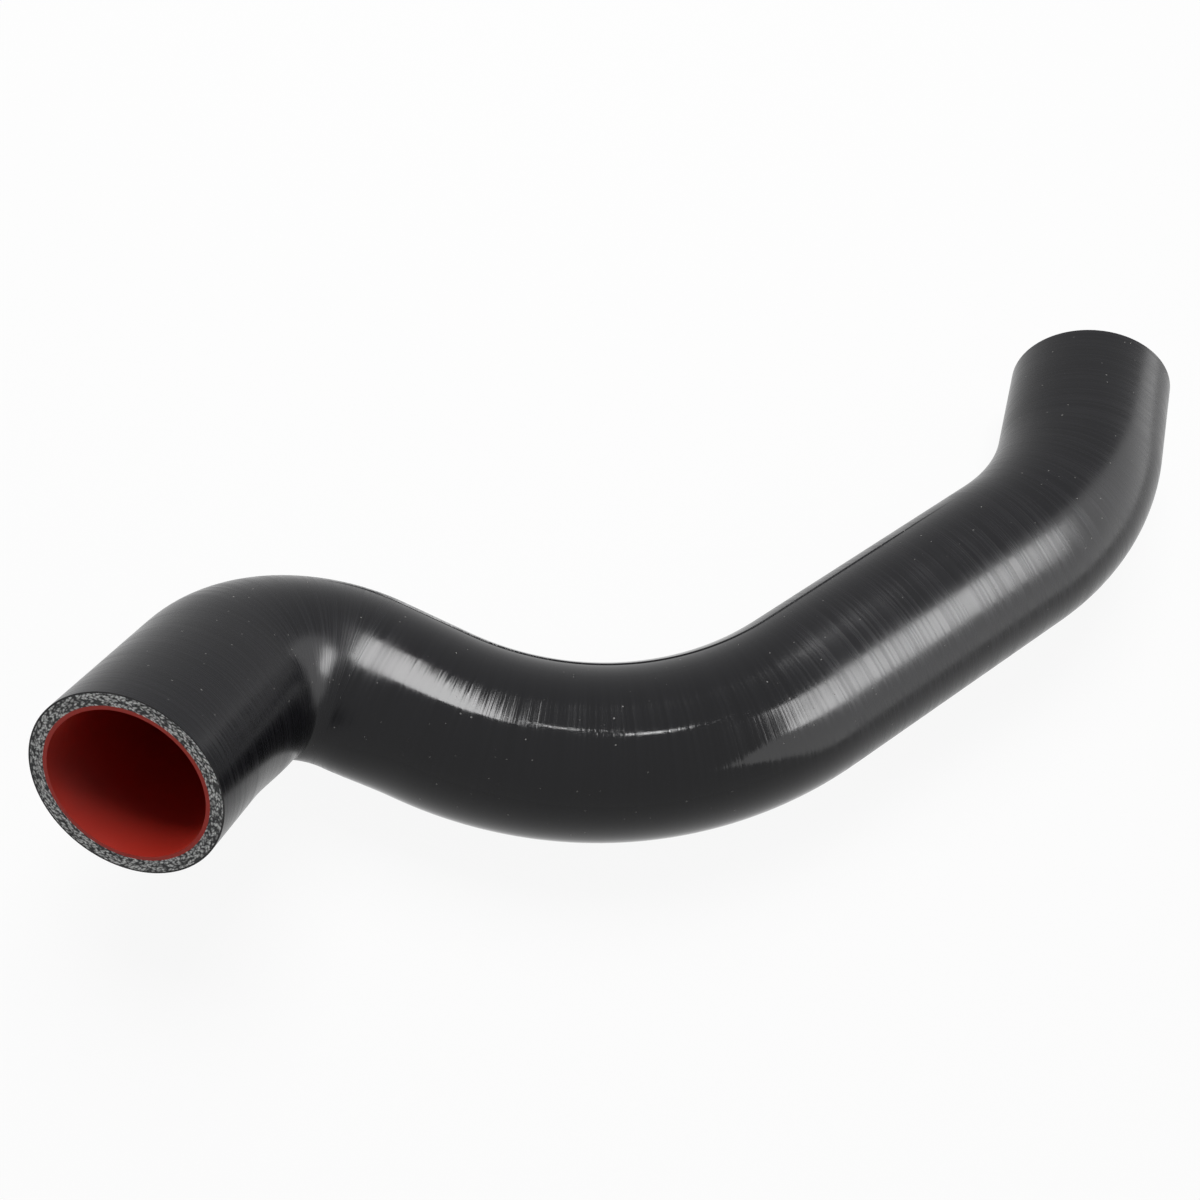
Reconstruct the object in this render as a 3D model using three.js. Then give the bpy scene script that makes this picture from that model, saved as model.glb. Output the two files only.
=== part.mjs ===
// Silicone intercooler hose: one moulded tube of constant section, straight and bent in turn, open at both ends.
// Millimetres, +Z up. The hose lies as it comes to rest on a flat surface, which is the plane z = 0,
// and the origin is under the middle of its outline on that surface.

import * as THREE from 'three';

// Section of the tube
const boreDiameter = 55;
const wallThickness = 6.5;

// Course of the centre line, from the near end to the far end. A twist turns the next bend's plane about the tube.
const nearStraight = 60;
const elbowAngle = 90;
const elbowRadius = 41;
const middleStraight = 28;
const bellyTwist = -141;
const bellyAngle = 58.5;
const bellyRadius = 147;
const longStraight = 111;
const farTwist = -19;
const farAngle = 37.5;
const farRadius = 101;
const farStraight = 42.5;

// How the hose lies, as turns in degrees about its own X, then Y, then Z
const restRoll = 1.5;
const restPitch = 35;
const restHeading = 86.5;

// Fineness of the surface
const sectionSides = 40;
const degreesPerStep = 7.5;
const stepsPerStraight = 2;

const coverMaterial = new THREE.MeshStandardMaterial({ color: 0x1b1b1d, roughness: 0.32, metalness: 0 });

const { degToRad } = THREE.MathUtils;

function straight(length) {
  return { length, turn: 0, twist: 0, steps: stepsPerStraight };
}

function bend(angle, radius, twist = 0) {
  const turn = degToRad(angle);
  return { length: radius * turn, turn, twist: degToRad(twist), steps: Math.ceil(angle / degreesPerStep) };
}

// Direction of the centre line at a fraction of a leg, turned from its start towards the bend's centre
function directionOn(leg, fraction) {
  const swung = leg.turn * fraction;
  return leg.ahead.clone().multiplyScalar(Math.cos(swung)).addScaledVector(leg.inward, Math.sin(swung));
}

// Point of the centre line at a fraction of a leg: along a line, or round an arc
function pointOn(leg, fraction) {
  if (leg.turn === 0) return leg.start.clone().addScaledVector(leg.ahead, leg.length * fraction);
  const radius = leg.length / leg.turn;
  const swung = leg.turn * fraction;
  return leg.start.clone()
    .addScaledVector(leg.ahead, radius * Math.sin(swung))
    .addScaledVector(leg.inward, radius * (1 - Math.cos(swung)));
}

// Sets each leg off from the end of the one before it
function joinLegs(legs) {
  let start = new THREE.Vector3();
  let ahead = new THREE.Vector3(1, 0, 0);
  let inward = new THREE.Vector3(0, -1, 0);
  for (const leg of legs) {
    inward.applyAxisAngle(ahead, leg.twist);
    Object.assign(leg, { start, ahead, inward });
    start = pointOn(leg, 1);
    ahead = directionOn(leg, 1);
    inward = inward.clone().applyAxisAngle(leg.ahead.clone().cross(leg.inward), leg.turn);
  }
  return legs;
}

// The centre line as a curve whose even steps are each leg's own steps, so that a ring stands at every joint of legs
class HoseCourse extends THREE.Curve {
  constructor(legs) {
    super();
    this.legs = joinLegs(legs);
    this.steps = legs.reduce((sum, leg) => sum + leg.steps, 0);
  }

  locate(share) {
    let left = share * this.steps;
    for (const leg of this.legs) {
      if (left <= leg.steps || leg === this.legs.at(-1)) return [leg, left / leg.steps];
      left -= leg.steps;
    }
  }

  getPointAt(share, target = new THREE.Vector3()) {
    return target.copy(pointOn(...this.locate(share)));
  }

  getTangentAt(share, target = new THREE.Vector3()) {
    return target.copy(directionOn(...this.locate(share)));
  }
}

function tubeSection() {
  const boreRadius = boreDiameter / 2;
  const section = new THREE.Shape().absarc(0, 0, boreRadius + wallThickness, 0, 2 * Math.PI);
  section.holes.push(new THREE.Path().absarc(0, 0, boreRadius, 0, 2 * Math.PI, true));
  return section;
}

function makeHose() {
  const course = new HoseCourse([
    straight(nearStraight),
    bend(elbowAngle, elbowRadius),
    straight(middleStraight),
    bend(bellyAngle, bellyRadius, bellyTwist),
    straight(longStraight),
    bend(farAngle, farRadius, farTwist),
    straight(farStraight),
  ]);
  const wall = new THREE.ExtrudeGeometry(tubeSection(), {
    extrudePath: course,
    steps: course.steps,
    curveSegments: sectionSides / 2,
  });
  const hose = new THREE.Mesh(wall, coverMaterial);
  hose.name = 'hose';
  return hose;
}

// Turns the hose to its rest and sets its lowest point on the surface, with its outline centred on the origin
function layDown(hose) {
  hose.rotation.set(degToRad(restRoll), degToRad(restPitch), degToRad(restHeading), 'ZYX');
  const outline = new THREE.Box3().setFromObject(hose, true);
  const middle = outline.getCenter(new THREE.Vector3());
  hose.position.set(-middle.x, -middle.y, -outline.min.z);
}

const part = new THREE.Group();
const hose = makeHose();
layDown(hose);
part.add(hose);

export default part;
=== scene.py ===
import bpy
import numpy as np
from mathutils import Matrix, Vector


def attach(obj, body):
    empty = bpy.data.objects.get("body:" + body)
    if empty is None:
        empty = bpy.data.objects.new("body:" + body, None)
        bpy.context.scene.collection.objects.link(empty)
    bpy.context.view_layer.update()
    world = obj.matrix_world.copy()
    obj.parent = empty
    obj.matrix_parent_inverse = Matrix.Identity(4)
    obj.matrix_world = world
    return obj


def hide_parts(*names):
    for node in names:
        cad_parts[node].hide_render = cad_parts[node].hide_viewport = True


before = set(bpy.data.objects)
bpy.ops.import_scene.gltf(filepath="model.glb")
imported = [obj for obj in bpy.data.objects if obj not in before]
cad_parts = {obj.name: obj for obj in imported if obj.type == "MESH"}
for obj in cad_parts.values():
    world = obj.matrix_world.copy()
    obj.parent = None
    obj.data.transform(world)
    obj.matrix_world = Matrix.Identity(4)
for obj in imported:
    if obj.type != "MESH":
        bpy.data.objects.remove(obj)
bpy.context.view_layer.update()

# The liner: a red silicone sheet about 1.4 mm thick, wound first on the bent steel mandrel. It lines the bore from end
# to end, and the later layers follow its centre line. Off the mandrel the hose lies on its elbow, belly and far end.
# All sizes are in metres, and colours are linear.

NEAR_END = np.array([-0.144716, -0.157995, 0.093868])
REST_ROLL, REST_PITCH, REST_HEADING = 1.5, 35.0, 86.5
NEAR_STRAIGHT, ELBOW_RADIUS, ELBOW_ANGLE = 0.060, 0.041, 90.0
LEGS = [  # length of a straight or radius of a bend, bend angle, twist of the bend's plane about the tube
    (NEAR_STRAIGHT, 0, 0),
    (ELBOW_RADIUS, ELBOW_ANGLE, 0),
    (0.028, 0, 0),
    (0.147, 58.5, -141),
    (0.111, 0, 0),
    (0.101, 37.5, -19),
    (0.0425, 0, 0),
]
STATION_GAP = 0.002

BORE_RADIUS, LINER_OUTSIDE = 0.0275, 0.0289
INNER_SIDES, SHARP_EDGE = 96, np.radians(40)
INNER_TURNS = np.linspace(0, 2 * np.pi, INNER_SIDES, endpoint=False)
SILICONE_IOR, SILICONE_SHINE = 1.41, 0.36
DEEP_RED, BRIGHT_RED = (0.45, 0.026, 0.015, 1), (0.53, 0.033, 0.019, 1)
SHEET_WAVES, LINER_GRAIN = 0.00012, 0.00002


def swing(vector, axis, angles):
    """A vector turned about an axis k by each angle: v cos a + (k x v) sin a + k (k . v)(1 - cos a)."""
    angles = np.asarray(angles)[..., None]
    return (vector * np.cos(angles) + np.cross(axis, vector) * np.sin(angles)
            + axis * (axis @ vector) * (1 - np.cos(angles)))


def lay_course():
    """Stations down the centre line, as distance, middle, ahead, inward and side of the tube. A straight adds its
    length ahead. A bend of radius r adds r sin a ahead and r (1 - cos a) towards its own centre, and swings ahead by a.
    Inward starts towards the elbow's centre and is carried along by the same swings, so it never twists."""
    start, heading, bendward = np.zeros(3), np.array([1.0, 0, 0]), np.array([0, -1.0, 0])
    inward, run, rows = bendward, 0.0, []
    for size, angle, twist in LEGS:
        bendward = swing(bendward, heading, np.radians(twist))
        axis, sweep = np.cross(heading, bendward), np.radians(angle)
        length = size * sweep if angle else size
        share = np.linspace(0, 1, 2 * int(np.ceil(length / STATION_GAP / 2)) + 1)
        swung = share * sweep
        if angle:
            reach = size * (np.outer(np.sin(swung), heading) + np.outer(1 - np.cos(swung), bendward))
        else:
            reach = np.outer(share * length, heading)
        rows.append(np.column_stack([run + share * length, start + reach, swing(heading, axis, swung),
                                     swing(inward, axis, swung)])[1 if rows else 0:])
        start, heading, inward = rows[-1][-1, 1:4], rows[-1][-1, 4:7], rows[-1][-1, 7:10]
        bendward, run = swing(bendward, axis, sweep), run + length
    course = np.vstack(rows)
    lie = np.array(Matrix.Rotation(np.radians(REST_HEADING), 3, "Z") @ Matrix.Rotation(np.radians(REST_PITCH), 3, "Y")
                   @ Matrix.Rotation(np.radians(REST_ROLL), 3, "X"))
    middle, ahead, inward = (course[:, i:i + 3] @ lie.T for i in (1, 4, 7))
    return course[:, 0], middle + NEAR_END, inward, np.cross(ahead, inward)


RUN, MIDDLE, INWARD, SIDE = lay_course()


def wind_layer(name, inside, outside, turn, swell=None):
    """A closed tube wall on the root body. Its points are middle + r (inward cos t + side sin t) for each turn t, with
    r the outer radius, plus any swell(run, t), from the near end to the far end and then the inner radius all the way
    back, so that the grid closes on itself both ways and both cut ends are flat. The attribute "unrolled" keeps (run,
    r cos t, r sin t), each point's place on the hose if it were straight."""
    ring, sides = len(RUN), len(turn)
    there_and_back = np.r_[0:ring, ring - 1:-1:-1]
    radius = np.repeat([outside, inside], ring)[:, None] * np.ones(sides)
    if swell:
        radius[:ring] += swell(RUN[:, None], turn)
    run, middle, inward, side = (row[there_and_back] for row in (RUN, MIDDLE, INWARD, SIDE))
    out = inward[:, None] * np.cos(turn)[:, None] + side[:, None] * np.sin(turn)[:, None]
    points = middle[:, None] + radius[..., None] * out
    unrolled = np.stack([run[:, None] + 0 * radius, radius * np.cos(turn), radius * np.sin(turn)], axis=-1)
    corner = np.arange(points.shape[0] * sides).reshape(-1, sides)
    beside = np.roll(corner, -1, axis=1)
    faces = np.stack([corner, beside, np.roll(beside, -1, axis=0), np.roll(corner, -1, axis=0)], axis=-1)

    mesh = bpy.data.meshes.new(name)
    mesh.from_pydata(points.reshape(-1, 3), [], faces.reshape(-1, 4))
    mesh.attributes.new("unrolled", "FLOAT_VECTOR", "POINT").data.foreach_set("vector", unrolled.ravel())
    mesh.shade_smooth()
    mesh.set_sharp_from_angle(angle=SHARP_EDGE)
    mesh.validate()
    piece = bpy.data.objects.new(name, mesh)
    bpy.context.scene.collection.objects.link(piece)
    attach(piece, "root")
    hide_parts("hose")
    return piece


class Signal:
    """A socket in a material. Arithmetic with it adds Math nodes, and node() adds any other node to its tree."""

    def __init__(self, socket):
        self.socket = socket

    def node(self, kind, settings, inputs, output=0):
        """Adds a node of that kind: its settings first, then the value or the link of each socket."""
        tree = self.socket.id_data
        made = tree.nodes.new("ShaderNode" + kind)
        for setting, value in settings.items():
            setattr(made, setting, value)
        for name, value in inputs.items():
            if isinstance(value, Signal):
                tree.links.new(value.socket, made.inputs[name])
            else:
                made.inputs[name].default_value = value
        return Signal(made.outputs[output])

    def maths(self, operation, first, second=0.0):
        return self.node("Math", {"operation": operation}, {0: first, 1: second})

    def __add__(self, other): return self.maths("ADD", self, other)
    def __radd__(self, other): return self.maths("ADD", other, self)
    def __sub__(self, other): return self.maths("SUBTRACT", self, other)
    def __rsub__(self, other): return self.maths("SUBTRACT", other, self)
    def __mul__(self, other): return self.maths("MULTIPLY", self, other)
    def __rmul__(self, other): return self.maths("MULTIPLY", other, self)
    def __truediv__(self, other): return self.maths("DIVIDE", self, other)
    def __pow__(self, other): return self.maths("POWER", self, other)

    def stretched(self, along, around):
        """The unrolled place times along down the hose and times around across it."""
        return self.node("VectorMath", {"operation": "MULTIPLY"}, {0: self, 1: (along, around, around)})

    def noise(self, along, around, detail=2.0, roughness=0.5):
        """Noise from 0 to 1 with that many blotches in a metre along the hose and across it."""
        return self.node("TexNoise", {}, {"Vector": self.stretched(along, around), "Scale": 1.0, "Detail": detail,
                                          "Roughness": roughness})

    def along(self, direction):
        """How much of a place or a colour lies in that direction."""
        return self.node("VectorMath", {"operation": "DOT_PRODUCT"}, {0: self, 1: direction}, "Value")

    def step(self, low, high):
        """Rises smoothly from 0 at low to 1 at high."""
        return self.node("MapRange", {"interpolation_type": "SMOOTHSTEP"},
                         {"Value": self, "From Min": low, "From Max": high})

    def blend(self, first, second):
        """The first colour where this is 0, the second where it is 1."""
        return self.node("Mix", {"data_type": "RGBA"}, {0: self, 6: first, 7: second}, 2)


def start_finish(piece, ior, shine):
    """Gives the piece a material of its own, and returns its shader's sockets and the unrolled place to draw on."""
    material = bpy.data.materials.new(piece.name)
    material.use_nodes = True
    piece.data.materials.append(material)
    shader = material.node_tree.nodes["Principled BSDF"].inputs
    shader["IOR"].default_value = ior
    shader["Specular IOR Level"].default_value = shine
    place = material.node_tree.nodes.new("ShaderNodeAttribute")
    place.attribute_name = "unrolled"
    return shader, Signal(place.outputs["Vector"])


def finish_with(shader, colour, roughness, height):
    """Links the colour and the roughness, and a bump of that height in metres."""
    tree = colour.socket.id_data
    bump = height.node("Bump", {}, {"Strength": 1.0, "Distance": 1.0, "Height": height})
    tree.links.new(colour.socket, shader["Base Color"])
    tree.links.new(roughness.socket, shader["Roughness"])
    tree.links.new(bump.socket, shader["Normal"])


liner = wind_layer("hose_liner", BORE_RADIUS, LINER_OUTSIDE, INNER_TURNS)

shader, place = start_finish(liner, SILICONE_IOR, SILICONE_SHINE)
finish_with(
    shader,
    colour=place.noise(40, 40).blend(DEEP_RED, BRIGHT_RED),
    roughness=0.38 + 0.14 * place.noise(300, 40),
    height=SHEET_WAVES * place.noise(70, 12) + LINER_GRAIN * place.noise(900, 60),
)

# The plies: four turns of woven fabric soaked in black silicone, wound over the liner to hold the boost pressure.
# They show only where the ends are cut, as rows of grey and white yarn ends that lean one way in one ply and the other
# way in the next.

PLIES_OUTSIDE, PLY_COUNT = 0.0333, 4
PLY = (PLIES_OUTSIDE - LINER_OUTSIDE) / PLY_COUNT
YARN_PITCH, YARN_DEPTH, YARN_LEAN, YARN_HEIGHT = 0.00130, 0.00082, 0.0010, 0.00008
WANDER_ROUND, WANDER_OUT, WANDER_OF_PLY = 0.0012, 0.0010, 0.0008
FABRIC_IOR, FABRIC_SHINE = 1.45, 0.5
BINDER_BLACK, YARN_WHITE = (0.012, 0.013, 0.014, 1), (0.90, 0.91, 0.90, 1)

plies = wind_layer("hose_plies", LINER_OUTSIDE, PLIES_OUTSIDE, INNER_TURNS)

shader, place = start_finish(plies, FABRIC_IOR, FABRIC_SHINE)
inward_part, side_part = place.along((0, 1, 0)), place.along((0, 0, 1))
from_axis = (inward_part * inward_part + side_part * side_part) ** 0.5
round_rim = side_part.maths("ARCTAN2", side_part, inward_part) * PLIES_OUTSIDE
wander = place.noise(500, 500) - 0.5
lean = YARN_LEAN / PLY * from_axis.maths("PINGPONG", from_axis + WANDER_OF_PLY * wander, PLY)
rim_place = place.node("CombineXYZ", {}, {
    "X": (round_rim + lean + WANDER_ROUND * wander) / YARN_PITCH,
    "Y": (from_axis + WANDER_OUT * wander) / YARN_DEPTH,
    "Z": place.along((1000, 0, 0)),
})
yarn_ends = {"Vector": rim_place, "Scale": 1.0, "Randomness": 0.85}
to_yarn = place.node("TexVoronoi", {}, yarn_ends, "Distance")
shade = place.node("TexVoronoi", {}, yarn_ends, "Color").along((1, 0, 0))
yarn = (1 - to_yarn.step(0.20, 0.72)) * shade.step(-0.8, 0.7) * (0.7 + 0.8 * place.noise(1500, 1500))
finish_with(
    shader,
    colour=yarn.blend(BINDER_BLACK, YARN_WHITE),
    roughness=0.75 - 0.15 * yarn,
    height=YARN_HEIGHT * yarn,
)

# The cover: the last wrap, a thin sheet of black silicone. Nylon tape is wound tightly round it while it cures and is
# then peeled off, which leaves fine rings in its gloss. The sheet's lap runs down the back of the hose as a low step.
# The tight elbow folds its inner side into one sharp valley.

COVER_OUTSIDE = 0.0339
FOLD_RADIUS, FOLD_SLOPE, FOLD_RUNOUT = 0.0062, np.radians(5), 0.030
FOLD_TURN, FOLD_SPREAD = np.radians(20), np.radians(50)


def elbow_fold(run, turn):
    """How far the wall stands out from a round tube at the elbow. On its innermost line the walls of both legs run on
    almost straight, slope off their leg by b, and meet at radius f from the bend's axis. Seen from that axis the wall
    is then at f sin(45 + b) / sin(45 + b + a), with a the angle from the plane that halves the elbow. The gain over the
    round tube dies away past the elbow as a smooth step, and round the tube as a squared cosine."""
    half = np.radians(ELBOW_ANGLE) / 2
    from_plane = np.abs(run - NEAR_STRAIGHT - ELBOW_RADIUS * half)
    angle = np.minimum(from_plane / ELBOW_RADIUS, half)
    wall = FOLD_RADIUS * np.sin(half + FOLD_SLOPE) / np.sin(half + FOLD_SLOPE + angle)
    past = np.clip((from_plane / ELBOW_RADIUS - half) * ELBOW_RADIUS / FOLD_RUNOUT, 0, 1)
    off_fold = np.abs((turn - FOLD_TURN + np.pi) % (2 * np.pi) - np.pi)
    spread = np.cos(np.minimum(off_fold / FOLD_SPREAD, 1) * np.pi / 2) ** 2
    return (ELBOW_RADIUS - COVER_OUTSIDE - wall) * (1 - past * past * (3 - 2 * past)) * spread


LAP_TURN, LAP_SPREAD, LAP_EDGE = np.radians(248.75), np.radians(20), np.radians(0.25)
LAP_STEP, LAP_RUN = 0.0004, (0.100, 0.120, 0.360, 0.400)


def lap_step(run, turn):
    """How far the lap stands out: most at its edge, then less as a square towards LAP_SPREAD behind it."""
    behind = (LAP_TURN - turn) / LAP_SPREAD
    return LAP_STEP * np.where(behind > 0, np.clip(1 - behind, 0, 1) ** 2, 0) * np.interp(run, LAP_RUN, (0, 1, 1, 0))


OUTER_SIDES = 144
OUTER_TURNS = np.linspace(0, 2 * np.pi, OUTER_SIDES, endpoint=False)
OUTER_TURNS = np.sort(np.r_[OUTER_TURNS, LAP_TURN - LAP_EDGE, LAP_TURN + LAP_EDGE])
cover = wind_layer("hose_cover", PLIES_OUTSIDE, COVER_OUTSIDE, OUTER_TURNS,
                   swell=lambda run, turn: elbow_fold(run, turn) + lap_step(run, turn))

BELLY_START, BELLY_END = (0.115, 0.155), (0.265, 0.315)
DEEP_BLACK, RUBBED_BLACK, DUST_GREY = (0.003, 0.003, 0.0045, 1), (0.007, 0.007, 0.009, 1), (0.45, 0.44, 0.42, 1)
RING_HEIGHT, TAPE_HEIGHT, DENT_HEIGHT = 0.00001, 0.00005, 0.00012

shader, place = start_finish(cover, SILICONE_IOR, SILICONE_SHINE)
rings = place.noise(800, 8, detail=3.0, roughness=0.6).step(0.3, 0.7)
tape_turns = place.noise(170, 10)
dents = place.noise(45, 30)
down_hose = place.along((1, 0, 0))
polished = down_hose.step(*BELLY_START) * (1 - down_hose.step(*BELLY_END))
haze = place.noise(25, 45, detail=4.0)
speck = {"Vector": place.stretched(260, 260), "Scale": 1.0, "Randomness": 1.0}
dust = (1 - place.node("TexVoronoi", {}, speck, "Distance").step(0.04, 0.11)) * (
    place.node("TexVoronoi", {}, speck, "Color").along((1, 0, 0)).step(0.5, 0.9))
black = (0.5 * haze + 0.5 * rings).blend(DEEP_BLACK, RUBBED_BLACK)
finish_with(
    shader,
    colour=(0.4 * dust).blend(black, DUST_GREY),
    roughness=0.20 - 0.14 * polished + (0.12 - 0.06 * polished) * rings + 0.3 * dust,
    height=RING_HEIGHT * rings + TAPE_HEIGHT * tape_turns + DENT_HEIGHT * dents,
)

# The floor: a plain pale sheet. Cameras and reflections see it nearly white, and it keeps the hose's soft shadow.

FLOOR_SIZE, FLOOR_GREY, FLOOR_ROUGHNESS, FLOOR_GLOW = 8.0, 0.82, 0.9, 0.92

floor_mesh = bpy.data.meshes.new("floor")
corners = np.array([(-1, -1, 0), (1, -1, 0), (1, 1, 0), (-1, 1, 0)]) * FLOOR_SIZE / 2
floor_mesh.from_pydata(corners, [], [(0, 1, 2, 3)])
floor = bpy.data.objects.new("floor", floor_mesh)
bpy.context.scene.collection.objects.link(floor)


def seen_directly(tree):
    """1 for rays that show the background itself: from the camera, off a gloss or through glass."""
    rays = tree.nodes.new("ShaderNodeLightPath").outputs
    straight, gloss, glass = (Signal(rays[name]) for name in ("Is Camera Ray", "Is Glossy Ray", "Is Transmission Ray"))
    return straight.maths("MAXIMUM", straight.maths("MAXIMUM", straight, gloss), glass)


material = bpy.data.materials.new("floor")
material.use_nodes = True
floor_mesh.materials.append(material)
tree = material.node_tree
sheet = tree.nodes["Principled BSDF"]
sheet.inputs["Base Color"].default_value = (FLOOR_GREY, FLOOR_GREY, FLOOR_GREY, 1)
sheet.inputs["Roughness"].default_value = FLOOR_ROUGHNESS
seen = seen_directly(tree)
glow = seen.node("Emission", {}, {"Color": (1, 1, 1, 1), "Strength": 1.0})
surface = seen.node("MixShader", {}, {0: FLOOR_GLOW * seen, 1: Signal(sheet.outputs[0]), 2: glow})
tree.links.new(surface.socket, tree.nodes["Material Output"].inputs["Surface"])

# The lights: a key overhead gives the plain light. A broad side box, two strips and two small glints serve only as
# mirror images: the sheen and the long highlights on the belly and on the run to the far end. The room looks white.

def soft_box(name, lean, distance, size, roll, radiance, diffuse=True, glossy=True):
    """A flat lamp that faces the middle of the hose from lean = degrees off the vertical towards +X and +Y. Its width
    lies level along X before it is rolled about its own axis. Power is pi times radiance times area. A diffuse lamp
    lights plain colours, and a glossy one shows as a mirror image in the gloss."""
    zenith, bearing = np.radians(np.hypot(*lean)), np.arctan2(lean[1], lean[0])
    back = np.array([np.sin(zenith) * np.cos(bearing), np.sin(zenith) * np.sin(bearing), np.cos(zenith)])
    level = np.cross([0, 1.0, 0], back)
    level = swing(level / np.linalg.norm(level), back, np.radians(roll))
    data = bpy.data.lights.new(name, "AREA")
    data.shape = "RECTANGLE"
    data.size, data.size_y = size
    data.energy = radiance * np.pi * size[0] * size[1]
    lamp = bpy.data.objects.new(name, data)
    axes = np.column_stack([level, np.cross(back, level), back])
    lamp.matrix_world = Matrix.Translation(back * distance) @ Matrix(axes.tolist()).to_4x4()
    lamp.visible_camera = False
    lamp.visible_diffuse, lamp.visible_glossy = diffuse, glossy
    bpy.context.scene.collection.objects.link(lamp)


soft_box("side_box", lean=(67, 14), distance=1.2, size=(1.7, 1.8), roll=24, radiance=2.0, diffuse=False)
soft_box("right_strip", lean=(38, 2.5), distance=2.0, size=(1.12, 0.7), roll=-38, radiance=19, diffuse=False)
soft_box("left_strip", lean=(-16.5, 12), distance=0.7, size=(0.45, 0.22), roll=-74, radiance=22, diffuse=False)
soft_box("left_glint", lean=(0.4, 6), distance=1.5, size=(0.025, 0.06), roll=8, radiance=55, diffuse=False)
soft_box("right_glint", lean=(7.4, 4), distance=1.5, size=(0.045, 0.06), roll=8, radiance=55, diffuse=False)
soft_box("key", lean=(-12, 23), distance=1.5, size=(0.8, 0.8), roll=0, radiance=9.5, glossy=False)

ROOM_LIGHT = 0.12

world = bpy.data.worlds.new("room")
bpy.context.scene.world = world
world.use_nodes = True
room = world.node_tree.nodes["Background"].inputs
room["Color"].default_value = (1, 1, 1, 1)
strength = ROOM_LIGHT + (1 - ROOM_LIGHT) * seen_directly(world.node_tree)
world.node_tree.links.new(strength.socket, room["Strength"])

# The camera: steeply above the near end's side, a little rolled, with the lens of a short telephoto.

CAMERA_PLACE = Vector((-0.013843, -0.250786, 0.535375))
CAMERA_LOOK = Vector((-0.024303, 0.430830, -0.902106))
CAMERA_UP = Vector((-0.345708, 0.843078, 0.411953))
LENS, SENSOR = 42, 36

lens = bpy.data.cameras.new("camera")
lens.lens, lens.sensor_width = LENS, SENSOR
camera = bpy.data.objects.new("camera", lens)
axes = Matrix((CAMERA_LOOK.cross(CAMERA_UP), CAMERA_UP, -CAMERA_LOOK)).transposed()
camera.matrix_world = Matrix.Translation(CAMERA_PLACE) @ axes.to_4x4()
bpy.context.scene.collection.objects.link(camera)
bpy.context.scene.camera = camera
bpy.context.scene.view_settings.view_transform = "Standard"
